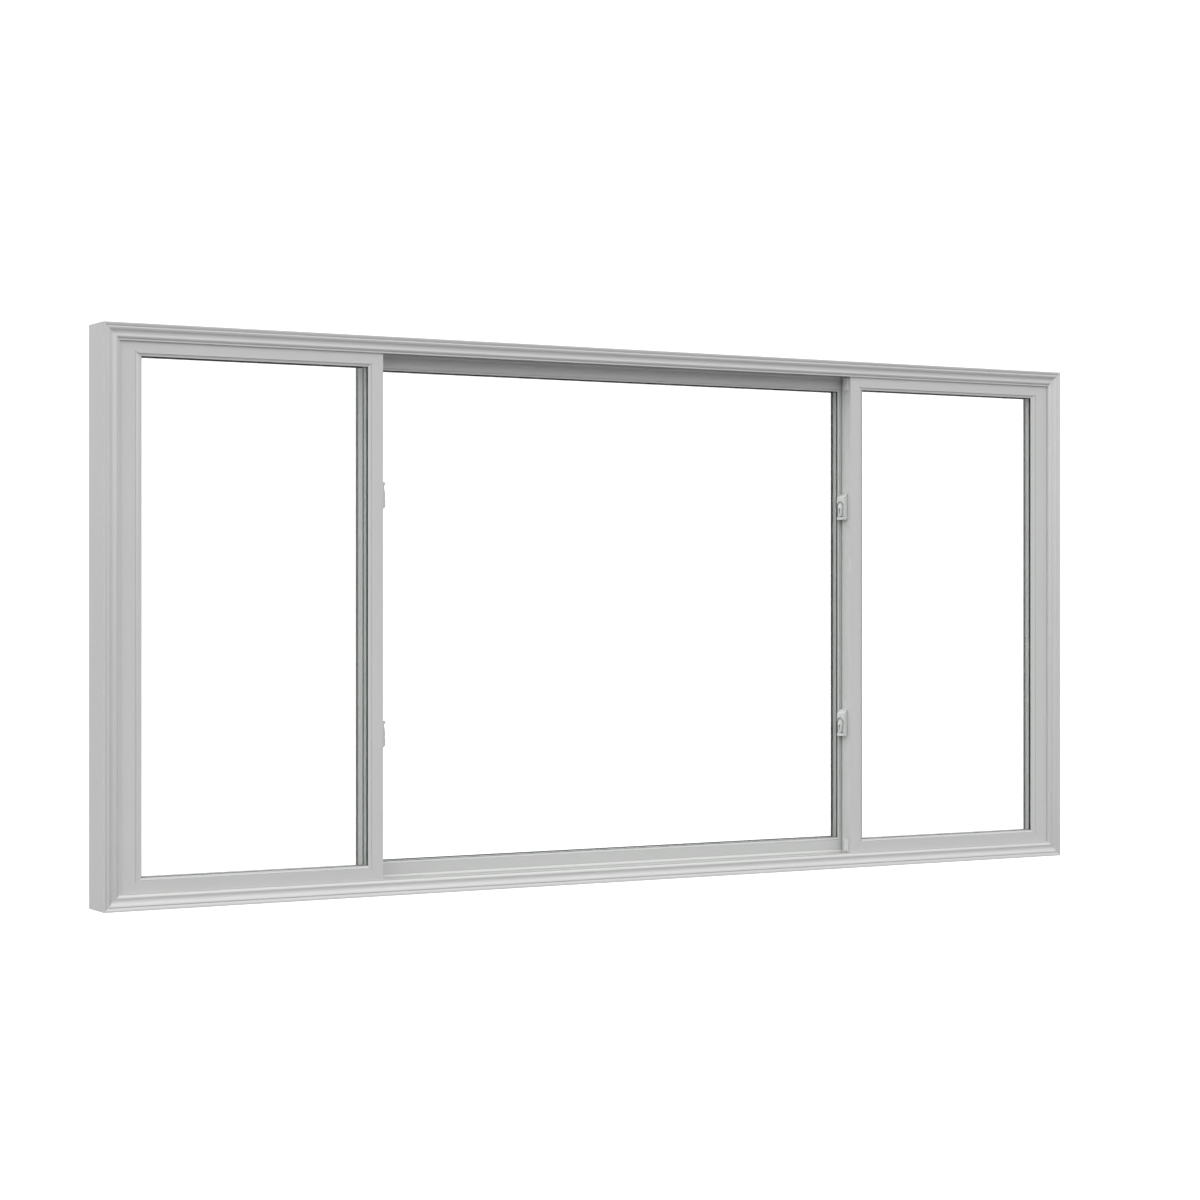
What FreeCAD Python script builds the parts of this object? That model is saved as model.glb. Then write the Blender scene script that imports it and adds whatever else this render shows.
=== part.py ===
import FreeCAD, Part
import math
import os
import Sketcher

# Three-lite horizontal sliding window: a sliding sash in the room-side track at each end and a
# wide fixed lite between them in the track behind. X runs along the window, Y away from the room,
# Z up. The origin is the middle of the sill's underside.

Vector = FreeCAD.Vector
doc = FreeCAD.newDocument("sliding_window")
dims = doc.addObject("Spreadsheet::Sheet", "dims")

SIZES = {
    # outer frame
    "frame_width": 2286,
    "frame_height": 1105,
    "mitre_reach": 60,
    "mitre_spare": 9,
    # room-side moulding of the frame: widths one after another inwards from its outer edge, and
    # depths behind its face
    "crown_start": 2,
    "crown_width": 5.3,
    "crown_depth": 1.4,
    "crown_radius": 10.6,
    "return_width": 1.7,
    "return_depth": 0.7,
    "roll_width": 5,
    "roll_depth": 2.2,
    "roll_radius": 8.9,
    "valley_width": 5,
    "valley_depth": 3.75,
    "valley_radius": 8.9,
    "crest_width": 6.2,
    "crest_depth": 2.2,
    "crest_radius": 13,
    "bevel_width": 4.8,
    "bevel_depth": 4.8,
    "bevel_radius": 6.5,
    "lip_face": 3,
    "lip_thickness": 2.7,
    # tracks of the frame
    "track_floor": 22,
    "rail_thickness": 3,
    "rail_height": 8,
    "riser_height": 37,
    "riser_bevel": 4,
    "glazing_floor": 30,
    "back_wall": 2.5,
    "back_height": 40,
    "screen_floor": 30,
    "screen_width": 5.25,
    # weep slots in the sill's outdoor face, and their covers
    "weep_width": 42,
    "weep_height": 10,
    "weep_depth": 2.5,
    "weep_start": 7,
    "weep_spacing": 760,
    "weep_play": 0.2,
    # sliding sashes
    "sash_play": 1,
    "back_play": 1.5,
    "sash_thickness": 32,
    "sash_lift": 2,
    "jamb_play": 4,
    "meeting_offset": 563.3,
    "rail_flat": 31.7,
    "pull_flat": 39.5,
    "meeting_flat": 25.4,
    # glazing beads: the slope next to the sash, then the fall up to the glass
    "bead_line": 0.4,
    "bead_inset": 0.6,
    "bead_depth": 5.5,
    "bead_width": 5.3,
    "bead_slope": 2.2,
    "bead_drop": 1.2,
    "bead_fall": 0.4,
    "pull_bead_width": 12.5,
    "pull_bead_slope": 9,
    "pull_bead_drop": 1.4,
    "pull_bead_fall": 0.4,
    "meeting_bead_width": 6.9,
    "meeting_bead_slope": 4.8,
    "meeting_bead_drop": 1.2,
    "meeting_bead_fall": 2,
    # channel of the sashes, over the running rails
    "channel_width": 8,
    "channel_depth": 10,
    # double glazing
    "pane_thickness": 3,
    "cavity": 14,
    "glass_bite": 4.5,
    "fixed_glass_bite": 3.5,
    "spacer_show": 0.5,
    # fixed lite
    "fixed_thickness": 26.3,
    "fixed_reveal": 7.6,
    "fixed_seat": 0.3,
    "fixed_rail_flat": 28.5,
    "fixed_stile_flat": 32.8,
    "fixed_bead_width": 4.5,
    "fixed_bead_depth": 3.5,
    "fixed_bead_drop": 0.8,
    # interlocking hooks of the meeting stiles
    "hook_wall": 1.2,
    "hook_gap": 0.95,
    "hook_offset": 10,
    "hook_tip": 6,
    "hook_overlap": 3,
    "hook_play": 2,
    # rollers of the sashes
    "roller_radius": 9,
    "roller_width": 6,
    "roller_axle": 2.5,
    "roller_offset": 90,
    "roller_play": 0.3,
    "slot_play": 2,
    # locks on the meeting stiles
    "lock_end": 316,
    "lock_height": 58,
    "lock_inset": 12,
    "lock_overhang": 4,
    "lock_depth": 11,
    "lock_seat": 8,
    "lock_bevel": 9,
    "lock_round": 1.2,
    "stop_height": 6,
    "stop_gap": 2.4,
    "pin_radius": 2,
    "pin_depth": 4,
    "pin_play": 0.1,
    # levers of the locks
    "hub_raise": 2.5,
    "hub_width": 13,
    "ridge_depth": 4.9,
    "arm_width": 8,
    "arm_depth": 2.7,
    "tail_length": 9.5,
    "tail_width": 6,
    "tail_depth": 3,
    "tail_gap": 4.2,
    "lever_play": 0.3,
    "scoop_floor": 2.6,
    "scoop_start": 1,
    "scoop_width": 5.6,
    "scoop_length": 12,
    # keepers, let into the fixed stiles
    "keeper_height": 46,
    "keeper_width": 6,
    "keeper_depth": 2,
    "keeper_inset": 0.3,
    # moulded guides at the ends of the meeting stiles
    "guide_height": 28,
    "guide_width": 16,
    "guide_depth": 2,
    "guide_inset": 10,
    # installation screw holes of the head
    "screw_radius": 2.5,
    "screw_end": 150,
}

# Places that follow from the sizes above.
PLACES = {
    "half_width": "frame_width / 2",
    "middle_height": "frame_height / 2",
    "crown_end": "crown_start + crown_width",
    "roll_start": "crown_end + return_width",
    "roll_end": "roll_start + roll_width",
    "valley": "roll_end + valley_width",
    "crest": "valley + crest_width",
    "bevel_end": "crest + bevel_width",
    "lip_height": "bevel_end + lip_face",
    "lip_back": "bevel_depth + lip_thickness",
    "sash_front": "lip_back + sash_play",
    "sash_back": "sash_front + sash_thickness",
    "sash_middle": "sash_front + sash_thickness / 2",
    "rail_near": "sash_middle - rail_thickness / 2",
    "rail_far": "sash_middle + rail_thickness / 2",
    "screw_line": "(lip_back + rail_near) / 2",
    "riser_front": "sash_back + back_play",
    "fixed_gap": "2 * hook_wall + 3 * hook_gap",
    "fixed_front": "sash_back + fixed_gap",
    "fixed_back": "fixed_front + fixed_thickness",
    "riser_back": "fixed_front - fixed_seat",
    "wall_front": "fixed_back + fixed_seat",
    "wall_rear": "wall_front + back_wall",
    "outer_front": "wall_rear + screen_width",
    "frame_depth": "outer_front + back_wall",
    "half_depth": "frame_depth / 2",
    "through": "4 * frame_depth",
    "sash_margin": "track_floor + sash_lift",
    "sash_height": "frame_height - 2 * sash_margin",
    "sash_outer": "track_floor + jamb_play",
    "sash_width": "half_width - sash_outer - meeting_offset",
    "sash_centre": "meeting_offset + sash_width / 2",
    "channel_near": "sash_thickness / 2 - channel_width / 2",
    "channel_far": "sash_thickness / 2 + channel_width / 2",
    "rail_width": "rail_flat + bead_width",
    "pull_width": "pull_flat + pull_bead_width",
    "meeting_width": "meeting_flat + meeting_bead_width",
    "unit_thickness": "2 * pane_thickness + cavity",
    "leg_front": "bead_depth + unit_thickness",
    "fixed_rail_width": "fixed_rail_flat + fixed_bead_width",
    "fixed_stile_width": "fixed_stile_flat + fixed_bead_width",
    "fixed_leg_front": "fixed_bead_depth + unit_thickness",
    "fixed_edge": "meeting_offset - fixed_reveal + fixed_stile_width",
    "fixed_margin": "glazing_floor + fixed_seat",
    "fixed_height": "frame_height - 2 * fixed_margin",
    "sash_hook_end": "riser_height + hook_play - sash_margin",
    "fixed_hook_end": "riser_height + hook_play - fixed_margin",
    "fixed_hook_tip": "fixed_edge - meeting_offset - hook_offset - hook_tip + hook_overlap",
    "roller_centre": "track_floor + rail_height + roller_play + roller_radius",
    "lock_width": "sash_thickness - lock_inset + lock_overhang",
    "hub_centre": "sash_front + lock_inset + lock_width / 2",
    "arm_reach": "lock_height / 2 - stop_height - stop_gap - hub_raise",
    "upper_lock": "frame_height - lock_end",
    "lower_lock": "lock_end",
}


def fillSheet():
    row = 0
    for name, size in SIZES.items():
        row += 1
        dims.set(f"A{row}", name)
        dims.set(f"B{row}", str(size))
        dims.setAlias(f"B{row}", name)
    for name, place in PLACES.items():
        row += 1
        dims.set(f"A{row}", name)
        dims.set(f"B{row}", "=" + place)
        dims.setAlias(f"B{row}", name)
    doc.recompute()


WORDS = set(SIZES) | set(PLACES)


def rule(text):
    """The expression for a size written with the sheet's own names."""
    out = ""
    word = ""
    for letter in str(text) + " ":
        if letter.isalnum() or letter in "_.":
            word += letter
            continue
        if word in WORDS:
            word = "dims." + word
        out += word + letter
        word = ""
    return out.strip()


def number(text):
    """The present value of such a size, for a sketch's first shape."""
    value = dims.evalExpression(rule(text))
    return float(getattr(value, "Value", value))


def newBody(name):
    body = doc.addObject("PartDesign::Body", name)
    body.Label = name
    return body


def newSketch(body, name, plane):
    sketch = body.newObject("Sketcher::SketchObject", name)
    for feature in body.Origin.OriginFeatures:
        if feature.Role == plane:
            sketch.AttachmentSupport = [(feature, "")]
    sketch.MapMode = "FlatFace"
    return sketch


def outline(sketch, points):
    """A closed outline through points of named sizes.

    A third item bends the edge that starts there: it is the radius, and the centre lies to the
    left of the way along the outline, or to the right if a minus stands before it.
    """
    spots = [Vector(number(point[0]), number(point[1]), 0) for point in points]
    first = sketch.GeometryCount
    starts = []
    bends = []
    for index, spot in enumerate(spots):
        end = spots[(index + 1) % len(spots)]
        if len(points[index]) == 2:
            starts.append(1)
            sketch.addGeometry(Part.LineSegment(spot, end))
            continue
        bend = points[index][2]
        side = -1 if bend.startswith("-") else 1
        radius = bend.lstrip("-")
        bends.append((first + index, radius))
        reach = (number(radius) ** 2 - (spot.distanceToPoint(end) / 2) ** 2) ** 0.5 * side
        along = end.sub(spot).normalize()
        centre = spot.add(end).multiply(0.5).add(Vector(-along.y, along.x, 0).multiply(reach))
        angles = [math.atan2(tip.y - centre.y, tip.x - centre.x) for tip in (spot, end)]
        # An arc runs anticlockwise, so one with its centre on the right starts at its far end.
        starts.append(1 if side > 0 else 2)
        circle = Part.Circle(centre, Vector(0, 0, 1), number(radius))
        sketch.addGeometry(Part.ArcOfCircle(circle, *(angles if side > 0 else reversed(angles))))
    for index in range(len(spots)):
        after = (index + 1) % len(spots)
        sketch.addConstraint(
            Sketcher.Constraint("Coincident", first + index, 3 - starts[index], first + after, starts[after])
        )
    for index, point in enumerate(points):
        spot = spots[index]
        corner = (first + index, starts[index])
        held = sketch.addConstraint(Sketcher.Constraint("DistanceX", -1, 1, *corner, spot.x))
        sketch.setExpression(f"Constraints[{held}]", rule(point[0]))
        held = sketch.addConstraint(Sketcher.Constraint("DistanceY", -1, 1, *corner, spot.y))
        sketch.setExpression(f"Constraints[{held}]", rule(point[1]))
    for edge, radius in bends:
        held = sketch.addConstraint(Sketcher.Constraint("Radius", edge, number(radius)))
        sketch.setExpression(f"Constraints[{held}]", rule(radius))


def box(left, bottom, right, top):
    return [(left, bottom), (right, bottom), (right, top), (left, top)]


def ring(sketch, across, up, radius):
    """A circle of a named radius about a named point."""
    spot = Vector(number(across), number(up), 0)
    index = sketch.addGeometry(Part.Circle(spot, Vector(0, 0, 1), number(radius)))
    held = sketch.addConstraint(Sketcher.Constraint("DistanceX", -1, 1, index, 3, spot.x))
    sketch.setExpression(f"Constraints[{held}]", rule(across))
    held = sketch.addConstraint(Sketcher.Constraint("DistanceY", -1, 1, index, 3, spot.y))
    sketch.setExpression(f"Constraints[{held}]", rule(up))
    held = sketch.addConstraint(Sketcher.Constraint("Radius", index, number(radius)))
    sketch.setExpression(f"Constraints[{held}]", rule(radius))


def pad(body, sketch, length, centred=False, flip=False):
    feature = body.newObject("PartDesign::Pad", body.Name + "_pad")
    feature.Profile = sketch
    feature.setExpression("Length", rule(length))
    feature.SideType = "Symmetric" if centred else "One side"
    feature.Reversed = flip
    return feature


def pocket(body, sketch, length, centred=False, flip=False):
    feature = body.newObject("PartDesign::Pocket", body.Name + "_pocket")
    feature.Profile = sketch
    feature.setExpression("Length", rule(length))
    feature.SideType = "Symmetric" if centred else "One side"
    feature.Reversed = flip
    return feature


def place(body, across, depth, height, turn=0):
    """Puts a body where it belongs, turned about the window's depth."""
    body.Placement = FreeCAD.Placement(Vector(), FreeCAD.Rotation(Vector(0, 1, 0), turn))
    body.setExpression("Placement.Base.x", rule(across))
    body.setExpression("Placement.Base.y", rule(depth))
    body.setExpression("Placement.Base.z", rule(height))


def mitre(body, length, height, near, far):
    """Cuts both ends of a member from its outer corners to the neighbours' inner edges."""
    sketch = newSketch(body, body.Name + "_mitres", "XZ_Plane")
    start, end = f"-{length} / 2", f"{length} / 2"
    before, after = f"{start} - mitre_spare", f"{end} + mitre_spare"
    outline(sketch, [(start, "0"), (f"{start} + {near}", height), (before, height), (before, "0")])
    outline(sketch, [(end, "0"), (after, "0"), (after, height), (f"{end} - {far}", height)])
    pocket(body, sketch, "through", centred=True)


# The frame's section: across is the depth from the room-side face, up is the way in from the
# outer edge. All four members share it; only head and sill carry the running rail.
def frameSection(withRail):
    points = [
        ("0", "0"),
        ("0", "crown_start", "-crown_radius"),
        ("crown_depth", "crown_end"),
        ("return_depth", "roll_start", "-roll_radius"),
        ("roll_depth", "roll_end", "valley_radius"),
        ("valley_depth", "valley", "crest_radius"),
        ("crest_depth", "crest", "-bevel_radius"),
        ("bevel_depth", "bevel_end"),
        ("bevel_depth", "lip_height"),
        ("lip_back", "lip_height"),
        ("lip_back", "track_floor"),
    ]
    if withRail:
        points += [
            ("rail_near", "track_floor"),
            ("rail_near", "track_floor + rail_height"),
            ("rail_far", "track_floor + rail_height"),
            ("rail_far", "track_floor"),
        ]
    points += [
        ("riser_front", "track_floor"),
        ("riser_front", "riser_height - riser_bevel"),
        ("riser_back", "riser_height"),
        ("riser_back", "glazing_floor"),
        ("wall_front", "glazing_floor"),
        ("wall_front", "back_height"),
        ("wall_rear", "back_height"),
        ("wall_rear", "screen_floor"),
        ("outer_front", "screen_floor"),
        ("outer_front", "back_height"),
        ("frame_depth", "back_height"),
        ("frame_depth", "0"),
    ]
    return points


def frameMember(name, length, withRail):
    body = newBody(name)
    sketch = newSketch(body, name + "_section", "YZ_Plane")
    outline(sketch, frameSection(withRail))
    pad(body, sketch, length, centred=True)
    mitre(body, length, "mitre_reach", "mitre_reach", "mitre_reach")
    return body


def screwHoles(head):
    """Two holes through the floor of the head's track, between its lip and its running rail."""
    sketch = newSketch(head, "head_screws", "XY_Plane")
    for sign in ("-", ""):
        ring(sketch, f"{sign}(half_width - screw_end)", "screw_line", "screw_radius")
    pocket(head, sketch, "through", centred=True)


def weepPlaces():
    return ("-weep_spacing", "0", "weep_spacing")


def weepSlots(sill):
    """Shallow seats for the weep covers, in the sill's outdoor face."""
    sketch = newSketch(sill, "weep_slots", "XZ_Plane")
    for middle in weepPlaces():
        start, end = f"{middle} - weep_width / 2", f"{middle} + weep_width / 2"
        outline(sketch, box(start, "weep_start", end, "weep_start + weep_height"))
    sketch.setExpression("AttachmentOffset.Base.z", rule("-(frame_depth - weep_depth)"))
    pocket(sill, sketch, "weep_depth")


def weepCovers():
    covers = []
    for number, middle in enumerate(weepPlaces(), 1):
        cover = newBody(f"weep_cover_{number}")
        sketch = newSketch(cover, cover.Name + "_outline", "XZ_Plane")
        reach = "(weep_width / 2 - weep_play)"
        low, high = "weep_start + weep_play", "weep_start + weep_height - weep_play"
        outline(sketch, box(f"-{reach}", low, reach, high))
        pad(cover, sketch, "weep_depth", flip=True)
        place(cover, middle, "half_depth - weep_depth", "0")
        covers.append(cover)
    grouped("weep_covers", covers)


def outerFrame():
    sill = frameMember("frame_sill", "frame_width", True)
    weepSlots(sill)
    place(sill, "0", "-half_depth", "0", 0)
    head = frameMember("frame_head", "frame_width", True)
    screwHoles(head)
    place(head, "0", "-half_depth", "frame_height", 180)
    left = frameMember("frame_jamb_left", "frame_height", False)
    place(left, "-half_width", "-half_depth", "middle_height", 90)
    right = frameMember("frame_jamb_right", "frame_height", False)
    place(right, "half_width", "-half_depth", "middle_height", -90)
    weepCovers()


# A sash member: solid up to the glazing rebate, then the leg behind the glass. A rail has a
# channel for the running rail in its outer edge, a meeting stile has a hook on its back.
def sashSection(flat, width, channel=False, hook=False):
    points = [("0", "0")]
    if channel:
        points += [
            ("channel_near", "0"),
            ("channel_near", "channel_depth"),
            ("channel_far", "channel_depth"),
            ("channel_far", "0"),
        ]
    points.append(("sash_thickness", "0"))
    if hook:
        tip = "sash_thickness + fixed_gap - hook_gap"
        points += [
            ("sash_thickness", "hook_offset"),
            (tip, "hook_offset"),
            (tip, "hook_offset + hook_tip"),
            (f"{tip} - hook_wall", "hook_offset + hook_tip"),
            (f"{tip} - hook_wall", "hook_offset + hook_wall"),
            ("sash_thickness", "hook_offset + hook_wall"),
        ]
    points += [
        ("sash_thickness", width),
        ("leg_front", width),
        ("leg_front", flat),
        ("0", flat),
    ]
    return points


def sashRail(name, flat, width, near, far):
    body = newBody(name)
    sketch = newSketch(body, name + "_section", "YZ_Plane")
    outline(sketch, sashSection(flat, width, channel=True))
    pad(body, sketch, "sash_width", centred=True)
    mitre(body, "sash_width", width, near, far)
    return body


def sashStile(name, flat, width, hook):
    body = newBody(name)
    sketch = newSketch(body, name + "_section", "YZ_Plane")
    outline(sketch, sashSection(flat, width, hook=hook))
    pad(body, sketch, "sash_height", centred=True)
    mitre(body, "sash_height", width, "rail_width", "rail_width")
    # The channel of the rails runs on through the stile's ends.
    trimEnds(body, "sash_height", "channel_depth", "channel_near", "channel_far")
    if hook:
        trimEnds(body, "sash_height", "sash_hook_end", "sash_thickness", "sash_thickness + fixed_gap")
    return body


def trimEnds(body, length, depth, near, far):
    """Cuts both ends of a stile back by depth, between two places in its thickness."""
    sketch = newSketch(body, f"{body.Name}_ends_{len(body.Group)}", "XY_Plane")
    start, end = f"-{length} / 2", f"{length} / 2"
    outline(sketch, box(f"{start} - mitre_spare", near, f"{start} + {depth}", far))
    outline(sketch, box(f"{end} - {depth}", near, f"{end} + mitre_spare", far))
    pocket(body, sketch, "through", centred=True)


def rollerSlots(body):
    """Two slots in the bottom rail that take the rollers, deeper than the rail's own channel."""
    sketch = newSketch(body, body.Name + "_roller_slots", "XY_Plane")
    reach = "(roller_radius + slot_play)"
    for sign in ("-", ""):
        centre = f"{sign}(sash_width / 2 - roller_offset)"
        start, end = f"{centre} - {reach}", f"{centre} + {reach}"
        outline(sketch, box(start, "channel_near", end, "channel_far"))
    pocket(body, sketch, "roller_centre + roller_radius + slot_play - sash_margin", flip=True)


def beadStrip(name, length, flat, width, near, far, depth, slope, drop, fall):
    """A glazing bead: it slopes down from the sash, then falls a little more up to the glass."""
    body = newBody(name)
    sketch = newSketch(body, name + "_section", "YZ_Plane")
    start = f"{flat} + bead_line"
    points = [
        ("bead_inset", start),
        (f"bead_inset + {drop}", f"{start} + {slope}"),
        (f"bead_inset + {drop} + {fall}", width),
        (depth, width),
        (depth, start),
    ]
    outline(sketch, points)
    pad(body, sketch, length, centred=True)
    # The ends are mitred, a hair short of the neighbouring strips.
    sketch = newSketch(body, name + "_mitres", "XZ_Plane")
    start, end = f"-{length} / 2", f"{length} / 2"
    before, after = f"{start} - mitre_spare", f"{end} + mitre_spare"
    gap = "bead_line / 2"
    low = (f"{start} + {gap}", "0")
    high = (f"{start} + {gap} + {near}", width)
    outline(sketch, [low, high, (before, width), (before, "0")])
    low = (f"{end} - {gap}", "0")
    high = (f"{end} - {gap} - {far}", width)
    outline(sketch, [low, (after, "0"), (after, width), high])
    pocket(body, sketch, "through", centred=True)
    return body


def grouped(name, bodies):
    group = doc.addObject("Part::Compound", name)
    group.Label = name
    group.Links = bodies
    return group


def glazing(prefix, centre, front, bottom, left, right, top, bite):
    """Two panes and the spacer between them."""
    behind = f"{front} + pane_thickness"
    for name, depth, thickness in (
        ("glass_inner", front, "pane_thickness"),
        ("spacer", behind, "cavity"),
        ("glass_outer", f"{behind} + cavity", "pane_thickness"),
    ):
        body = newBody(prefix + name)
        sketch = newSketch(body, prefix + name + "_outline", "XZ_Plane")
        outline(sketch, box(left, bottom, right, top))
        if name == "spacer":
            rim = f"({bite} + spacer_show)"
            outline(sketch, box(f"{left} + {rim}", f"{bottom} + {rim}", f"{right} - {rim}", f"{top} - {rim}"))
        pad(body, sketch, thickness, flip=True)
        place(body, centre, f"{depth} - half_depth", "0")


def slidingSash(prefix, side):
    """One sash with its glazing and hardware; side is -1 for the left one, 1 for the right one."""
    sign = "-" if side < 0 else ""
    centre = f"{sign}sash_centre"
    inner = f"{sign}meeting_offset"
    outer = f"{sign}(half_width - sash_outer)"
    front = "sash_front - half_depth"
    low, high = "sash_margin", "frame_height - sash_margin"
    # A rail's near end is at -X, or at +X for the top one, which is turned over.
    ends = ("pull_width", "meeting_width") if side < 0 else ("meeting_width", "pull_width")
    bottom = sashRail(prefix + "bottom_rail", "rail_flat", "rail_width", *ends)
    rollerSlots(bottom)
    place(bottom, centre, front, low, 0)
    top = sashRail(prefix + "top_rail", "rail_flat", "rail_width", ends[1], ends[0])
    place(top, centre, front, high, 180)
    pull = sashStile(prefix + "pull_stile", "pull_flat", "pull_width", False)
    place(pull, outer, front, "middle_height", -90 * side)
    meeting = sashStile(prefix + "meeting_stile", "meeting_flat", "meeting_width", True)
    place(meeting, inner, front, "middle_height", 90 * side)
    sashBeads(prefix, side, ends, centre, inner, outer)

    # The panes stand in the rebate, held by the glass bite behind the beads.
    pullEdge = "(sash_width / 2 - pull_width + glass_bite)"
    meetingEdge = "(sash_width / 2 - meeting_width + glass_bite)"
    left, right = (f"-{pullEdge}", meetingEdge) if side < 0 else (f"-{meetingEdge}", pullEdge)
    glassLow = "sash_margin + rail_width - glass_bite"
    glassHigh = "frame_height - sash_margin - rail_width + glass_bite"
    glazing(prefix, centre, "sash_front + bead_depth", glassLow, left, right, glassHigh, "glass_bite")

    rollers(prefix, centre)
    guides(prefix, side, inner)
    lock(prefix, "upper", side, inner, "upper_lock")
    lock(prefix, "lower", side, inner, "lower_lock")


def sashBeads(prefix, side, ends, centre, inner, outer):
    plain = ("bead_depth", "bead_slope", "bead_drop", "bead_fall")
    front = "sash_front - half_depth"
    rail = ("sash_width", "rail_flat", "rail_width")
    bottom = beadStrip(prefix + "bead_bottom", *rail, *ends, *plain)
    place(bottom, centre, front, "sash_margin", 0)
    top = beadStrip(prefix + "bead_top", *rail, ends[1], ends[0], *plain)
    place(top, centre, front, "frame_height - sash_margin", 180)
    stile = ("sash_height", "pull_flat", "pull_width", "rail_width", "rail_width")
    slopes = ("pull_bead_slope", "pull_bead_drop", "pull_bead_fall")
    pull = beadStrip(prefix + "bead_pull", *stile, "bead_depth", *slopes)
    place(pull, outer, front, "middle_height", -90 * side)
    stile = ("sash_height", "meeting_flat", "meeting_width", "rail_width", "rail_width")
    slopes = ("meeting_bead_slope", "meeting_bead_drop", "meeting_bead_fall")
    meeting = beadStrip(prefix + "bead_meeting", *stile, "bead_depth", *slopes)
    place(meeting, inner, front, "middle_height", 90 * side)
    grouped(prefix + "glazing_beads", [bottom, top, pull, meeting])


def rollers(prefix, centre):
    """A wheel and its axle in one turned piece, twice, on the running rail of the sill."""
    wheels = []
    for name, way in (("a", "-"), ("b", "+")):
        wheel = newBody(prefix + "roller_" + name)
        sketch = newSketch(wheel, wheel.Name + "_tread", "XZ_Plane")
        ring(sketch, "0", "0", "roller_radius")
        pad(wheel, sketch, "roller_width", centred=True)
        sketch = newSketch(wheel, wheel.Name + "_axle", "XZ_Plane")
        ring(sketch, "0", "0", "roller_axle")
        pad(wheel, sketch, "channel_width", centred=True)
        across = f"{centre} {way} (sash_width / 2 - roller_offset)"
        place(wheel, across, "sash_middle - half_depth", "roller_centre")
        wheels.append(wheel)
    grouped(prefix + "rollers", wheels)


def guides(prefix, side, inner):
    """Moulded guides at both ends of the meeting stile's edge."""
    blocks = []
    reach = "(guide_inset + guide_height / 2)"
    for name, height in (
        ("low", f"sash_margin + {reach}"),
        ("high", f"frame_height - sash_margin - {reach}"),
    ):
        block = newBody(prefix + "guide_" + name)
        sketch = newSketch(block, block.Name + "_outline", "YZ_Plane")
        half, end = "guide_width / 2", "guide_height / 2"
        outline(sketch, box(f"-{half}", f"-{end}", half, end))
        pad(block, sketch, "guide_depth", flip=side > 0)
        place(block, inner, "sash_middle - half_depth", height)
        blocks.append(block)
    grouped(prefix + "guides", blocks)


def lock(prefix, name, side, inner, height):
    """A cam lock on the edge of a meeting stile: housing, and a lever that turns on its pin."""
    # The right lock is the left one turned half a turn about the window's depth.
    turn = 0 if side < 0 else 180
    hub = f"{height} + hub_raise" if side < 0 else f"{height} - hub_raise"
    sign = "-" if side > 0 else "+"
    lockHousing(f"{prefix}lock_{name}")
    place(doc.getObject(f"{prefix}lock_{name}"), inner, "sash_front + lock_inset - half_depth", height, turn)
    lockLever(f"{prefix}lever_{name}")
    across = f"{inner} {sign} (lock_seat + lever_play)"
    place(doc.getObject(f"{prefix}lever_{name}"), across, "hub_centre - half_depth", hub, turn)


def lockHousing(name):
    """Bevelled at one end, square at the other, sunk between them where the lever lies."""
    body = newBody(name)
    sketch = newSketch(body, name + "_side", "XZ_Plane")
    points = [
        ("0", "-lock_height / 2"),
        ("lock_depth", "lock_bevel - lock_height / 2"),
        ("lock_depth", "lock_height / 2"),
        ("0", "lock_height / 2"),
    ]
    outline(sketch, points)
    block = pad(body, sketch, "lock_width", flip=True)
    doc.recompute()
    # The bevel and the flat are rounded along their room-side edges.
    edges = []
    for number, edge in enumerate(block.Shape.Edges, 1):
        middle = edge.BoundBox.Center
        if abs(middle.y) < 0.01 and middle.x > 1 and edge.BoundBox.ZLength > 1:
            edges.append(f"Edge{number}")
    rounding = body.newObject("PartDesign::Fillet", name + "_rounding")
    rounding.Base = (block, edges)
    rounding.setExpression("Radius", rule("lock_round"))
    # The sunk seat: round about the hub, straight up to the stop block at the square end.
    sketch = newSketch(body, name + "_round_seat", "YZ_Plane")
    sketch.setExpression("AttachmentOffset.Base.z", rule("lock_seat"))
    ring(sketch, "lock_width / 2", "hub_raise", "tail_length + tail_gap")
    pocket(body, sketch, "lock_depth", flip=True)
    sketch = newSketch(body, name + "_seat", "YZ_Plane")
    sketch.setExpression("AttachmentOffset.Base.z", rule("lock_seat"))
    outline(sketch, box("-lock_width", "hub_raise", "2 * lock_width", "lock_height / 2 - stop_height"))
    pocket(body, sketch, "lock_depth", flip=True)
    sketch = newSketch(body, name + "_pin_bore", "YZ_Plane")
    ring(sketch, "lock_width / 2", "hub_raise", "pin_radius + pin_play")
    pocket(body, sketch, "lock_depth", flip=True)


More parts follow.
